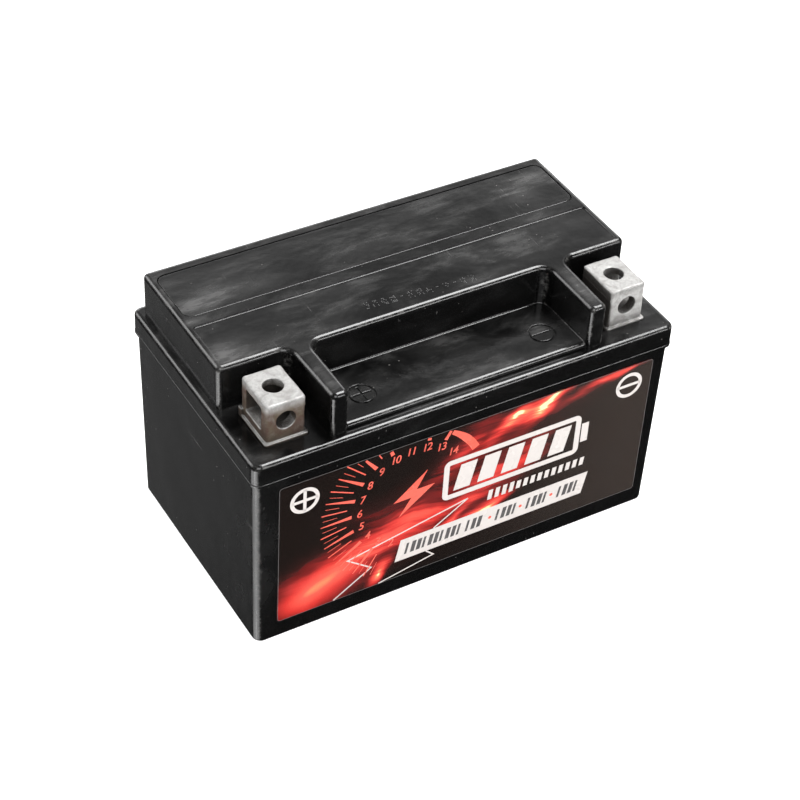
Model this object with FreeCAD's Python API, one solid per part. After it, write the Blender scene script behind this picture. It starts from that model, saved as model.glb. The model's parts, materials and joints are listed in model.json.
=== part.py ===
"""Sealed 12 V motorcycle battery: six lead-acid cells in a black box with a stepped cover.

Frame, in millimetres: the origin is at the centre of the base, +X runs along the length
towards the negative terminal, -Y is the labelled front and +Z is up.
"""
import FreeCAD
import Part
import math
import os

V = FreeCAD.Vector

# Overall size
LENGTH = 151.6
DEPTH = 86.4
HEIGHT = 92.0

# Container
JOINT_Z = 67.75           # the weld line between the container and the cover
RIM_OVERHANG = 0.9        # the cover's rim stands this far out from the container
WALL_DRAFT = 0.7          # the container is this much smaller per side at its base
FLOOR = 2.4
CORNER_R = 3.2            # of the cover's rim in plan
CONTAINER_CORNER_R = 3.0
BASE_FILLET = 0.8
INNER_X = LENGTH / 2 - 3.6    # half length of the space inside
INNER_Y = DEPTH / 2 - 3.6     # half depth of the space inside
CELLS = 6
PARTITION = 1.6
CELL_CORNER_R = 1.0

# Cover
LEDGE_Z = 75.9
LEDGE_FLOOR = 2.35
RIM_FILLET = 1.6
LIP_HEIGHT = 0.9          # lip round the rim's lower edge
LIP_STEP = 0.15           # the lip stands this far out from the rim
LIP_FILLET = 0.2
BLOCK_X = LENGTH / 2 - 2.55
BLOCK_REAR_Y = DEPTH / 2 - 4.35
BLOCK_CORNER_R = 1.8
BLOCK_FILLET = 1.65
POCKET_REAR_Y = -14.3     # rear wall of each terminal pocket
RECESS_REAR_Y = -14.9     # rear wall of the central recess
POCKET_CORNER_R = 4.0
ARM_ROOT_OUT = 49.3
ARM_TIP_OUT = 48.7
ARM_ROOT_IN = 42.8
ARM_TIP_IN = 42.9
ARM_TIP_Y = -40.9
ARM_TIP_R = 1.9
DECK_Z = LEDGE_Z + 1.95
DECK_FRONT_Y = ARM_TIP_Y + 1.3
DECK_FILLET = 1.5
DECK_ROOT_R = 0.6         # round where the deck meets the walls of the recess
BLOCK_WALL = 2.5
ARM_WALL = 1.7

# Polarity marks sunk in the central deck
PLUS_X = -31.9
MINUS_X = 33.3
MARK_Y = -28.9
MARK_R = 4.5
MARK_STROKE = 0.6
MARK_DEPTH = 0.45
MARK_EDGE_R = 0.18

# Shallow panel in the front half of the block's top
PANEL_X = 71.3
PANEL_FRONT_Y = RECESS_REAR_Y + 2.1
PANEL_REAR_Y = 7.1
PANEL_DEPTH = 0.45
PANEL_R = 1.5
PANEL_ROOT_R = 0.35       # round at the foot of the panel's step

# Vent cover, pressed into a well in the rear half of the block
VENT_X = 70.8
VENT_FRONT_Y = 11.9
VENT_REAR_Y = 34.6
VENT_R = 3.0
VENT_GAP = 0.3
VENT_TOP_Z = HEIGHT - 0.1
VENT_SEAT_Z = VENT_TOP_Z - 2.7
VENT_FILLET = 0.25
SEAT_WIDTH = 1.5          # ledge that the vent cover rests on
SKIRT_GAP = 0.35
SKIRT_WALL = 1.2
SKIRT_BOTTOM_Z = VENT_SEAT_Z - 3.2
WELL_FLOOR_Z = VENT_SEAT_Z - 9.7
WELL_FLOOR = 2.0
WELL_Y = (VENT_FRONT_Y + VENT_REAR_Y) / 2

# Vent tubes, their rubber caps, and the stops under the vent cover
TUBE_R = 4.2
TUBE_BORE_R = 2.7
TUBE_TOP_Z = WELL_FLOOR_Z + 5.8
CAP_CLEARANCE = 0.05
CAP_WALL = 1.2
CAP_BOTTOM_Z = WELL_FLOOR_Z + 1.5
CAP_TOP_Z = TUBE_TOP_Z + 1.2
CAP_BEAD = 0.5
STOP_R = 2.5
STOP_BOTTOM_Z = CAP_TOP_Z + 0.8
ARRESTOR_R = 4.0
ARRESTOR_Z = VENT_SEAT_Z - 2.0
ARRESTOR_RING_R = 5.2
GAS_CHANNEL = 0.6

# Terminals, mirror images left and right
TERMINAL_IN_X = 54.4
TERMINAL_OUT_X = 67.5
TERMINAL_FRONT_Y = -34.9
TERMINAL_REAR_Y = -18.3
TERMINAL_TOP_Z = 90.3
TERMINAL_X = (TERMINAL_IN_X + TERMINAL_OUT_X) / 2
TERMINAL_Y = (TERMINAL_FRONT_Y + TERMINAL_REAR_Y) / 2
TERMINAL_EDGE_R = 1.0
TERMINAL_TOP_R = 0.7
TOP_WALL = 2.6
FRONT_WALL = 3.6
REAR_WALL = 3.0
INNER_WALL = 2.0
TUNNEL_FLOOR_Z = LEDGE_Z + 3.4
TUNNEL_R = 0.8
BOLT_R = 3.25
TOP_HOLE_Y = TERMINAL_Y + 0.3
FRONT_HOLE_Z = 83.5
FLANGE_MARGIN = 0.8
FLANGE_SEAT_Z = LEDGE_Z - 0.35
FLANGE_TOP_Z = LEDGE_Z + 0.65
FLANGE_R = 0.8
FLANGE_GAP = 0.3
TAB_WIDTH = 2.0
TAB_HEIGHT = 2.4
STEM_R = 4.5
STEM_BOTTOM_Z = 68.8
POST_SOCKET_R = 3.0
POST_R = POST_SOCKET_R - 0.05
POST_TOP_Z = 75.0
POST_FOOT_R = 4.0
POST_FOOT = 1.5
CUP_R = 6.6
CUP_WALL = 1.4
RING_R = 0.98
RING_Z = LEDGE_Z - LEDGE_FLOOR - 1.0
RESIN_BOTTOM_Z = STEM_BOTTOM_Z + 0.2
RESIN_TOP_Z = RING_Z - 1.1
FIT = 0.02

# Plates, straps and mats of one cell
POSITIVES = 4
NEGATIVES = 5
POSITIVE_T = 1.8
NEGATIVE_T = 1.3
MAT_T = 1.0
PLATE_Y = INNER_Y - 1.9
MAT_Y = INNER_Y - 1.0
PLATE_TOP_Z = 57.5
MAT_TOP_Z = PLATE_TOP_Z + 1.5
STRAP_Y = -TERMINAL_Y
STRAP_HALF = 5.5
STRAP_Z = PLATE_TOP_Z + 4.0
STRAP_TOP_Z = STRAP_Z + 4.0
LUG_HALF = 4.5
TAB_T = 2.5
TAB_Z = STRAP_Z - 1.8
TAB_TOP_Z = STRAP_TOP_Z + 1.5
SLUG_R = 3.0
SLUG_Z = STRAP_Z + 1.8

# Front label
LABEL_LEFT = -67.0
LABEL_RIGHT = 69.0
LABEL_BOTTOM = 6.8
LABEL_TOP = 64.2
LABEL_T = 0.2
LABEL_R = 1.2

CELL_W = (2 * INNER_X - (CELLS - 1) * PARTITION) / CELLS
CELL_PITCH = CELL_W + PARTITION
PLATE_PITCH = NEGATIVE_T + POSITIVE_T + 2 * MAT_T
STACK = NEGATIVES * NEGATIVE_T + POSITIVES * POSITIVE_T + (NEGATIVES + POSITIVES - 1) * MAT_T


def box(x0, x1, y0, y1, z0, z1):
    """Box between two limits on each axis."""
    return Part.makeBox(x1 - x0, y1 - y0, z1 - z0, V(x0, y0, z0))


def cylinder(radius, x, y, z0, z1):
    """Upright cylinder."""
    return Part.makeCylinder(radius, z1 - z0, V(x, y, z0))


def outline(corners, z):
    """Closed wire at height z through (x, y, radius) corners, each rounded by its radius."""
    points = [V(x, y, z) for x, y, radius in corners]
    joints = []
    for index, (x, y, radius) in enumerate(corners):
        corner = points[index]
        back = (points[index - 1] - corner).normalize()
        ahead = (points[(index + 1) % len(points)] - corner).normalize()
        half = back.getAngle(ahead) / 2
        bisector = (back + ahead).normalize()
        setback = radius / math.tan(half)
        nearest = radius / math.sin(half) - radius
        joints.append((corner + back * setback, corner + bisector * nearest, corner + ahead * setback))
    edges = []
    for index, (start, middle, end) in enumerate(joints):
        edges.append(Part.Arc(start, middle, end).toShape())
        edges.append(Part.LineSegment(end, joints[(index + 1) % len(joints)][0]).toShape())
    return Part.Wire(edges)


def rectangle(x0, x1, y0, y1, radius):
    """Four rounded corners, for outline."""
    return [(x1, y1, radius), (x0, y1, radius), (x0, y0, radius), (x1, y0, radius)]


def slab(corners, z0, z1):
    """Upright prism on a rounded outline."""
    return Part.Face(outline(corners, z0)).extrude(V(0, 0, z1 - z0))


def edges_at(shape, z):
    """Edges that lie wholly at height z."""
    tolerance = 1e-4
    return [e for e in shape.Edges
            if abs(e.BoundBox.ZMin - z) < tolerance and abs(e.BoundBox.ZMax - z) < tolerance]


def mirrored(shape):
    """The same shape on the other side of the middle plane."""
    return shape.mirror(V(0, 0, 0), V(1, 0, 0))


def cell_centre(cell):
    """X of the middle of a cell, cells counted from 0 at the positive end."""
    return -INNER_X + CELL_W / 2 + cell * CELL_PITCH


def positive_strap_y(cell):
    """The positive strap is at the front in cells 0, 2 and 4 and at the rear in the others."""
    return -STRAP_Y if cell % 2 == 0 else STRAP_Y


def container_half(z, half):
    """Half size of the container's outside at height z, from its half size at the rim."""
    return half - RIM_OVERHANG - WALL_DRAFT * (1 - z / JOINT_Z)


def container_body():
    """Outside of the container: a rounded box with draft and a softened base edge."""
    wires = []
    for z in (0, JOINT_Z):
        x = container_half(z, LENGTH / 2)
        y = container_half(z, DEPTH / 2)
        wires.append(outline(rectangle(-x, x, -y, y, CONTAINER_CORNER_R), z))
    body = Part.makeLoft(wires, True, True)
    return body.makeFillet(BASE_FILLET, edges_at(body, 0))


def container():
    """Open box with five walls between the cells and one weld hole through each wall."""
    body = container_body()
    for cell in range(CELLS):
        x = cell_centre(cell)
        cavity = rectangle(x - CELL_W / 2, x + CELL_W / 2, -INNER_Y, INNER_Y, CELL_CORNER_R)
        body = body.cut(slab(cavity, FLOOR, JOINT_Z + 1))
    for cell in range(CELLS - 1):
        body = body.cut(connector(cell, SLUG_R + FIT))
    return body


def block_corners():
    """Plan of the raised block with its two forward arms."""
    right = [(BLOCK_X, BLOCK_REAR_Y, BLOCK_CORNER_R),
             (BLOCK_X, POCKET_REAR_Y, BLOCK_CORNER_R),
             (ARM_ROOT_OUT, POCKET_REAR_Y, POCKET_CORNER_R),
             (ARM_TIP_OUT, ARM_TIP_Y, ARM_TIP_R),
             (ARM_TIP_IN, ARM_TIP_Y, ARM_TIP_R),
             (ARM_ROOT_IN, RECESS_REAR_Y, POCKET_CORNER_R)]
    left = [(-x, y, radius) for x, y, radius in reversed(right)]
    return right + left


def cover_body():
    """Outside of the cover: rim, raised block and central deck."""
    x = LENGTH / 2
    y = DEPTH / 2
    lip_z = JOINT_Z + LIP_HEIGHT
    lip = slab(rectangle(-x, x, -y, y, CORNER_R), JOINT_Z, lip_z)
    lip = lip.makeFillet(LIP_FILLET, edges_at(lip, lip_z))
    x -= LIP_STEP
    y -= LIP_STEP
    rim = slab(rectangle(-x, x, -y, y, CORNER_R - LIP_STEP), JOINT_Z, LEDGE_Z)
    rim = rim.makeFillet(RIM_FILLET, edges_at(rim, LEDGE_Z))
    block = slab(block_corners(), LEDGE_Z - 1, HEIGHT)
    block = block.makeFillet(BLOCK_FILLET, edges_at(block, HEIGHT))
    inside = (ARM_TIP_IN + ARM_TIP_OUT) / 2
    deck = box(-inside, inside, DECK_FRONT_Y, RECESS_REAR_Y + 1, LEDGE_Z - 1, DECK_Z)
    front = [e for e in edges_at(deck, DECK_Z) if e.BoundBox.YMax < DECK_FRONT_Y + 1]
    deck = deck.makeFillet(DECK_FILLET, front)
    body = rim.fuse([lip, block, deck]).removeSplitter()
    behind = DECK_FRONT_Y + DECK_FILLET + 0.1
    root = [e for e in edges_at(body, DECK_Z) if e.BoundBox.YMax > behind]
    return body.makeFillet(DECK_ROOT_R, root)


def head_space(cell):
    """Space under the cover above one cell, up to the ledge, the block and the well."""
    x0 = cell_centre(cell) - CELL_W / 2
    x1 = cell_centre(cell) + CELL_W / 2
    inside = BLOCK_X - BLOCK_WALL
    bx0 = max(x0, -inside)
    bx1 = min(x1, inside)
    ceiling = LEDGE_Z - LEDGE_FLOOR
    under_well = WELL_FLOOR_Z - WELL_FLOOR
    front = RECESS_REAR_Y + BLOCK_WALL
    well_wall = VENT_FRONT_Y - VENT_GAP - SEAT_WIDTH / 3
    low = slab(rectangle(x0, x1, -INNER_Y, INNER_Y, CELL_CORNER_R), JOINT_Z - 1, ceiling)
    high = box(bx0, bx1, front, well_wall, ceiling - 1, HEIGHT - PANEL_DEPTH - BLOCK_WALL)
    rear = box(bx0, bx1, well_wall - 1, BLOCK_REAR_Y - BLOCK_WALL, ceiling - 1, under_well)
    return low.fuse([high, rear])


def arm_core():
    """Slot that cores out the right arm from below."""
    x0 = ARM_TIP_IN + ARM_WALL
    x1 = ARM_TIP_OUT - ARM_WALL
    return box(x0, x1, ARM_TIP_Y + BLOCK_WALL, RECESS_REAR_Y, JOINT_Z - 1, HEIGHT - BLOCK_WALL)


def well():
    """Stepped well that takes the vent cover, with a ledge for it to rest on."""
    x = VENT_X + VENT_GAP
    y0 = VENT_FRONT_Y - VENT_GAP
    y1 = VENT_REAR_Y + VENT_GAP
    mouth = slab(rectangle(-x, x, y0, y1, VENT_R + VENT_GAP), VENT_SEAT_Z, HEIGHT + 1)
    x -= SEAT_WIDTH
    y0 += SEAT_WIDTH
    y1 -= SEAT_WIDTH
    chamber = slab(rectangle(-x, x, y0, y1, VENT_R), WELL_FLOOR_Z, VENT_SEAT_Z + 1)
    return mouth.fuse(chamber)


def polarity_mark(x, upright):
    """Ring with one bar, or two crossed bars, to be cut into the central deck."""
    z0 = DECK_Z - MARK_DEPTH
    z1 = DECK_Z + 1
    ring = cylinder(MARK_R, x, MARK_Y, z0, z1).cut(cylinder(MARK_R - MARK_STROKE, x, MARK_Y, z0, z1))
    arm = MARK_R - 2 * MARK_STROKE
    half = MARK_STROKE / 2
    bars = [box(x - arm, x + arm, MARK_Y - half, MARK_Y + half, z0, z1)]
    if upright:
        bars.append(box(x - half, x + half, MARK_Y - arm, MARK_Y + arm, z0, z1))
    return ring.fuse(bars)


def flange_corners(gap):
    """Plan of the right terminal's base flange, or of its seat with a gap round it."""
    margin = FLANGE_MARGIN + gap
    return rectangle(TERMINAL_IN_X - margin, TERMINAL_OUT_X + margin,
                     TERMINAL_FRONT_Y - margin, TERMINAL_REAR_Y + margin, FLANGE_R + gap)


def terminal_seat():
    """Seat for the right terminal's flange and the hole for its stem."""
    seat = slab(flange_corners(FLANGE_GAP), FLANGE_SEAT_Z, LEDGE_Z + 1)
    hole = cylinder(STEM_R + FIT, TERMINAL_X, TERMINAL_Y, STEM_BOTTOM_Z, LEDGE_Z)
    return seat.fuse(hole)


def seal_cup():
    """Cup under the cover floor that holds the ring and the resin round the right stem."""
    ceiling = LEDGE_Z - LEDGE_FLOOR
    wall = cylinder(CUP_R + CUP_WALL, TERMINAL_X, TERMINAL_Y, STEM_BOTTOM_Z, ceiling)
    return wall.cut(cylinder(CUP_R, TERMINAL_X, TERMINAL_Y, STEM_BOTTOM_Z, ceiling))


def cover():
    """Hollow cover with its walls over the partitions, well, vent tubes and terminal seats."""
    body = cover_body()
    for cell in range(CELLS):
        body = body.cut(head_space(cell))
    for hand in (lambda shape: shape, mirrored):
        body = body.cut(hand(arm_core()))
        body = body.fuse(hand(seal_cup()))
        body = body.cut(hand(terminal_seat()))
    body = body.cut(well())
    for cell in range(CELLS):
        x = cell_centre(cell)
        body = body.fuse(cylinder(TUBE_R, x, WELL_Y, WELL_FLOOR_Z - 1, TUBE_TOP_Z))
        body = body.cut(cylinder(TUBE_BORE_R, x, WELL_Y, JOINT_Z, TUBE_TOP_Z + 1))
    corners = rectangle(-PANEL_X, PANEL_X, PANEL_FRONT_Y, PANEL_REAR_Y, PANEL_R)
    panel = slab(corners, HEIGHT - PANEL_DEPTH, HEIGHT + 1)
    body = body.cut(panel.makeFillet(PANEL_ROOT_R, edges_at(panel, HEIGHT - PANEL_DEPTH)))
    body = body.cut(polarity_mark(PLUS_X, True))
    body = body.cut(polarity_mark(MINUS_X, False)).removeSplitter()
    grooves = [e for e in edges_at(body, DECK_Z)
               if e.BoundBox.YMin > MARK_Y - MARK_R - 0.1 and e.BoundBox.YMax < MARK_Y + MARK_R + 0.1]
    return body.makeFillet(MARK_EDGE_R, grooves)


def vent_cover():
    """Strip with a push-in skirt, a stop over each valve cap and two arrestor sockets."""
    top = rectangle(-VENT_X, VENT_X, VENT_FRONT_Y, VENT_REAR_Y, VENT_R)
    strip = slab(top, VENT_SEAT_Z, VENT_TOP_Z)
    strip = strip.makeFillet(VENT_FILLET, edges_at(strip, VENT_TOP_Z))
    inset = SEAT_WIDTH - VENT_GAP + SKIRT_GAP
    rings = []
    for step, radius in ((inset, VENT_R - SKIRT_GAP), (inset + SKIRT_WALL, VENT_R - SKIRT_WALL)):
        ring = rectangle(-VENT_X + step, VENT_X - step, VENT_FRONT_Y + step, VENT_REAR_Y - step, radius)
        rings.append(slab(ring, SKIRT_BOTTOM_Z, VENT_SEAT_Z))
    strip = strip.fuse(rings[0].cut(rings[1]))
    for cell in range(CELLS):
        strip = strip.fuse(cylinder(STOP_R, cell_centre(cell), WELL_Y, STOP_BOTTOM_Z, VENT_SEAT_Z))
    for x in arrestor_positions():
        strip = strip.fuse(cylinder(ARRESTOR_RING_R, x, WELL_Y, ARRESTOR_Z, VENT_SEAT_Z))
        strip = strip.cut(cylinder(ARRESTOR_R + FIT, x, WELL_Y, ARRESTOR_Z, VENT_SEAT_Z))
        strip = strip.cut(gas_channel(x))
    return strip.removeSplitter()


def arrestor_positions():
    """The discs sit between the first two cells and between the last two."""
    middle = (cell_centre(0) + cell_centre(1)) / 2
    return (middle, -middle)


def gas_channel(x):
    """Chamber over an arrestor disc and the channel from it to the strip's rear edge."""
    z1 = VENT_SEAT_Z + GAS_CHANNEL
    chamber = cylinder(ARRESTOR_R - 1, x, WELL_Y, VENT_SEAT_Z, z1)
    return chamber.fuse(box(x - GAS_CHANNEL, x + GAS_CHANNEL, WELL_Y, VENT_REAR_Y + 1, VENT_SEAT_Z, z1))


def flame_arrestor(x):
    """Porous disc."""
    return cylinder(ARRESTOR_R, x, WELL_Y, ARRESTOR_Z, VENT_SEAT_Z)


def valve_cap(cell):
    """Rubber cup pushed over a vent tube, with a bead round its lip."""
    inner = TUBE_R + CAP_CLEARANCE
    outer = inner + CAP_WALL
    bead_top = CAP_BOTTOM_Z + 2 * CAP_BEAD
    section = [V(0, 0, TUBE_TOP_Z), V(inner, 0, TUBE_TOP_Z), V(inner, 0, CAP_BOTTOM_Z),
               V(outer + CAP_BEAD, 0, CAP_BOTTOM_Z), V(outer + CAP_BEAD, 0, bead_top),
               V(outer, 0, bead_top + CAP_BEAD), V(outer, 0, CAP_TOP_Z - CAP_BEAD),
               V(outer - CAP_BEAD, 0, CAP_TOP_Z), V(0, 0, CAP_TOP_Z), V(0, 0, TUBE_TOP_Z)]
    cap = Part.Face(Part.makePolygon(section)).revolve(V(0, 0, 0), V(0, 0, 1), 360)
    cap.translate(V(cell_centre(cell), WELL_Y, 0))
    return cap


def terminal():
    """Right terminal: hollow lead box with two bolt holes, on a flange with a stem."""
    body = box(TERMINAL_IN_X, TERMINAL_OUT_X, TERMINAL_FRONT_Y, TERMINAL_REAR_Y,
               FLANGE_SEAT_Z, TERMINAL_TOP_Z)
    body = body.makeFillet(TERMINAL_EDGE_R, [e for e in body.Edges if e.BoundBox.ZLength > 1])
    body = body.makeFillet(TERMINAL_TOP_R, edges_at(body, TERMINAL_TOP_Z))
    body = body.cut(terminal_tunnel())
    body = body.cut(cylinder(BOLT_R, TERMINAL_X, TOP_HOLE_Y, TUNNEL_FLOOR_Z + 2, TERMINAL_TOP_Z + 1))
    hole_start = V(TERMINAL_X, TERMINAL_FRONT_Y - 1, FRONT_HOLE_Z)
    body = body.cut(Part.makeCylinder(BOLT_R, FRONT_WALL + 2, hole_start, V(0, 1, 0)))
    flange = slab(flange_corners(0), FLANGE_SEAT_Z, FLANGE_TOP_Z)
    tab_x = TERMINAL_OUT_X + FLANGE_MARGIN - FIT
    tab_y = TERMINAL_REAR_Y + FLANGE_MARGIN / 2
    tab = box(TERMINAL_OUT_X - 1, tab_x, tab_y - TAB_WIDTH, tab_y, FLANGE_SEAT_Z, FLANGE_TOP_Z + TAB_HEIGHT)
    stem = cylinder(STEM_R, TERMINAL_X, TERMINAL_Y, STEM_BOTTOM_Z, FLANGE_TOP_Z)
    body = body.fuse([flange, tab, stem])
    body = body.cut(cylinder(POST_SOCKET_R, TERMINAL_X, TERMINAL_Y, STEM_BOTTOM_Z - 1, POST_TOP_Z))
    return body.removeSplitter()


def terminal_tunnel():
    """Space inside the right terminal, open at its outer end."""
    y0 = TERMINAL_FRONT_Y + FRONT_WALL
    y1 = TERMINAL_REAR_Y - REAR_WALL
    tunnel = box(TERMINAL_IN_X + INNER_WALL, TERMINAL_OUT_X + 1, y0, y1,
                 TUNNEL_FLOOR_Z, TERMINAL_TOP_Z - TOP_WALL)
    along = [e for e in tunnel.Edges if e.BoundBox.XLength > 5]
    return tunnel.makeFillet(TUNNEL_R, along)


def post():
    """Right post: a round pin on a wider foot."""
    foot = cylinder(POST_FOOT_R, TERMINAL_X, TERMINAL_Y, STRAP_TOP_Z, STRAP_TOP_Z + POST_FOOT)
    return foot.fuse(cylinder(POST_R, TERMINAL_X, TERMINAL_Y, STRAP_TOP_Z, POST_TOP_Z)).removeSplitter()


def o_ring():
    """Right stem's rubber ring."""
    return Part.makeTorus((STEM_R + CUP_R) / 2, RING_R, V(TERMINAL_X, TERMINAL_Y, RING_Z), V(0, 0, 1))


def resin_seal():
    """Resin cast between the right stem and its cup."""
    outer = cylinder(CUP_R - FIT, TERMINAL_X, TERMINAL_Y, RESIN_BOTTOM_Z, RESIN_TOP_Z)
    return outer.cut(cylinder(STEM_R + FIT, TERMINAL_X, TERMINAL_Y, RESIN_BOTTOM_Z, RESIN_TOP_Z))


def plate_group(cell, first_x, thickness, count, strap_y, foot_z, tab_side):
    """Parallel plates with their lugs, cast onto one strap; tab_side 0 leaves out the weld tab."""
    centre = cell_centre(cell)
    pieces = []
    for index in range(count):
        x0 = centre + first_x + index * PLATE_PITCH
        pieces.append(box(x0, x0 + thickness, -PLATE_Y, PLATE_Y, foot_z, PLATE_TOP_Z))
        pieces.append(box(x0, x0 + thickness, strap_y - LUG_HALF, strap_y + LUG_HALF,
                          PLATE_TOP_Z - 1, STRAP_Z + 1))
    x0 = centre + first_x
    x1 = x0 + (count - 1) * PLATE_PITCH + thickness
    wall = centre + tab_side * CELL_W / 2
    if tab_side:
        tab_x = sorted((wall, wall - tab_side * TAB_T))
        pieces.append(box(*tab_x, strap_y - STRAP_HALF, strap_y + STRAP_HALF, TAB_Z, TAB_TOP_Z))
        x0 = min(x0, tab_x[0])
        x1 = max(x1, tab_x[1])
    strap = box(x0, x1, strap_y - STRAP_HALF, strap_y + STRAP_HALF, STRAP_Z, STRAP_TOP_Z)
    return strap.fuse(pieces).removeSplitter()


def positive_plates(cell):
    """Positive group of a cell; its tab meets the wall on the positive side."""
    first_x = -STACK / 2 + NEGATIVE_T + MAT_T
    tab_side = 0 if cell == 0 else -1
    return plate_group(cell, first_x, POSITIVE_T, POSITIVES, positive_strap_y(cell), FLOOR + MAT_T, tab_side)


def negative_plates(cell):
    """Negative group of a cell; its tab meets the wall on the negative side."""
    tab_side = 0 if cell == CELLS - 1 else 1
    return plate_group(cell, -STACK / 2, NEGATIVE_T, NEGATIVES, -positive_strap_y(cell), FLOOR, tab_side)


def separators(cell):
    """A folded glass mat round the bottom and both faces of each positive plate."""
    mats = []
    for index in range(POSITIVES):
        x0 = cell_centre(cell) - STACK / 2 + NEGATIVE_T + index * PLATE_PITCH
        x1 = x0 + POSITIVE_T + 2 * MAT_T
        fold = box(x0, x1, -MAT_Y, MAT_Y, FLOOR, MAT_TOP_Z)
        mats.append(fold.cut(box(x0 + MAT_T, x1 - MAT_T, -MAT_Y, MAT_Y, FLOOR + MAT_T, MAT_TOP_Z)))
    return Part.makeCompound(mats)


def connector(cell, radius):
    """Lead slug through the wall between a cell and the next one."""
    start = V(cell_centre(cell) + CELL_W / 2, -positive_strap_y(cell), SLUG_Z)
    return Part.makeCylinder(radius, PARTITION, start, V(1, 0, 0))


def front_label():
    """Thin vinyl sheet on the drafted front face, with rounded corners."""
    section = []
    for z, proud in ((LABEL_BOTTOM, 0), (LABEL_TOP, 0), (LABEL_TOP, LABEL_T), (LABEL_BOTTOM, LABEL_T)):
        section.append(V(LABEL_LEFT, -container_half(z, DEPTH / 2) - proud, z))
    sheet = Part.Face(Part.makePolygon(section + section[:1])).extrude(V(LABEL_RIGHT - LABEL_LEFT, 0, 0))
    corners = [e for e in sheet.Edges if e.BoundBox.YLength < 2 * LABEL_T and e.BoundBox.XLength < LABEL_T
               and e.BoundBox.ZLength < LABEL_T]
    return sheet.makeFillet(LABEL_R, corners)


def all_parts():
    """Every node's name with its shape."""
    parts = {"container": container(), "cover": cover(), "vent_cover": vent_cover()}
    parts["front_label"] = front_label()
    right_pieces = {"terminal": terminal(), "post": post(), "o_ring": o_ring(), "resin_seal": resin_seal()}
    for piece, shape in right_pieces.items():
        parts["negative_" + piece] = shape
        parts["positive_" + piece] = mirrored(shape)
    for name, x in zip(("left", "right"), arrestor_positions()):
        parts["flame_arrestor_" + name] = flame_arrestor(x)
    for cell in range(CELLS):
        number = str(cell + 1)
        parts["valve_cap_" + number] = valve_cap(cell)
        parts["positive_plates_" + number] = positive_plates(cell)
        parts["negative_plates_" + number] = negative_plates(cell)
        parts["separators_" + number] = separators(cell)
        if cell < CELLS - 1:
            parts["cell_connector_" + number] = connector(cell, SLUG_R)
    return parts


os.makedirs("parts", exist_ok=True)
for name, shape in all_parts().items():
    shape.exportStep("parts/" + name + ".step")
    state = "valid" if shape.isValid() else "INVALID"
    print(name, len(shape.Solids), "solids", round(shape.Volume, 1), "mm3", state)
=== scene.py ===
"""A sealed motorcycle battery: black moulded box and cover, cast lead terminals and a printed label."""
import json
import math
import random

import bmesh
import bpy
from mathutils import Matrix, Vector, noise


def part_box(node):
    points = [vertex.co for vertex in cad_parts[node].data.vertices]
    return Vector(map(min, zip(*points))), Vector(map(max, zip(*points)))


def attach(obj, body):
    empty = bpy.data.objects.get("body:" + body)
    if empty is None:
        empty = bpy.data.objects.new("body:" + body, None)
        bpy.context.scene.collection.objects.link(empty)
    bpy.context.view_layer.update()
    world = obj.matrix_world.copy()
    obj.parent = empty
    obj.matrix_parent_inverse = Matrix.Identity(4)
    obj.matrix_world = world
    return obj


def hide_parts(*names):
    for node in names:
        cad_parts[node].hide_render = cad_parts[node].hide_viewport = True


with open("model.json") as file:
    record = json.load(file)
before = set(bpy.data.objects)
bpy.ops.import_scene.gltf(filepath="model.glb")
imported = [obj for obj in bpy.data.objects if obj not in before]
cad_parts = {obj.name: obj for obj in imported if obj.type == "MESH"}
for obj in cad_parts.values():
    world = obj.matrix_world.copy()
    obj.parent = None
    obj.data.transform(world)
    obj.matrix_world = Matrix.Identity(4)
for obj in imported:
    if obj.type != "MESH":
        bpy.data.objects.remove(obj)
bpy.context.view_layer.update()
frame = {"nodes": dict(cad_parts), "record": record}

NODES = frame["nodes"]
MM = 0.001
SCENE = bpy.context.scene


# ---------------------------------------------------------------- node helpers

def material(name, colour=(0.5, 0.5, 0.5), roughness=0.5, metallic=0.0, specular=0.5):
    """A new material with its Principled shader set; returns (material, tree, shader)."""
    mat = bpy.data.materials.new(name)
    mat.use_nodes = True
    shader = mat.node_tree.nodes["Principled BSDF"]
    shader.inputs["Base Color"].default_value = (*colour, 1.0)
    shader.inputs["Roughness"].default_value = roughness
    shader.inputs["Metallic"].default_value = metallic
    shader.inputs["Specular IOR Level"].default_value = specular
    return mat, mat.node_tree, shader


def put(tree, kind, inputs=None, **settings):
    """Adds a node; inputs maps socket names or numbers to values or to sockets to link."""
    node = tree.nodes.new(kind)
    for key, value in settings.items():
        setattr(node, key, value)
    for key, value in (inputs or {}).items():
        if isinstance(value, bpy.types.NodeSocket):
            tree.links.new(value, node.inputs[key])
        else:
            node.inputs[key].default_value = value
    return node


def place(tree):
    """Coordinates in metres in the object's own frame, which is the battery's frame at rest."""
    return put(tree, "ShaderNodeTexCoord").outputs["Object"]


def fractal(tree, where, scale, detail=3.0, roughness=0.55, distortion=0.0):
    return put(tree, "ShaderNodeTexNoise", {
        "Vector": where, "Scale": scale, "Detail": detail,
        "Roughness": roughness, "Distortion": distortion}).outputs["Fac"]


def spread(tree, value, low, high, out_low=0.0, out_high=1.0):
    """Maps value from low..high to out_low..out_high with soft ends."""
    return put(tree, "ShaderNodeMapRange", {
        "Value": value, "From Min": low, "From Max": high,
        "To Min": out_low, "To Max": out_high}, interpolation_type="SMOOTHSTEP").outputs["Result"]


def maths(tree, operation, a, b=0.0):
    return put(tree, "ShaderNodeMath", {0: a, 1: b}, operation=operation).outputs[0]


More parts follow.
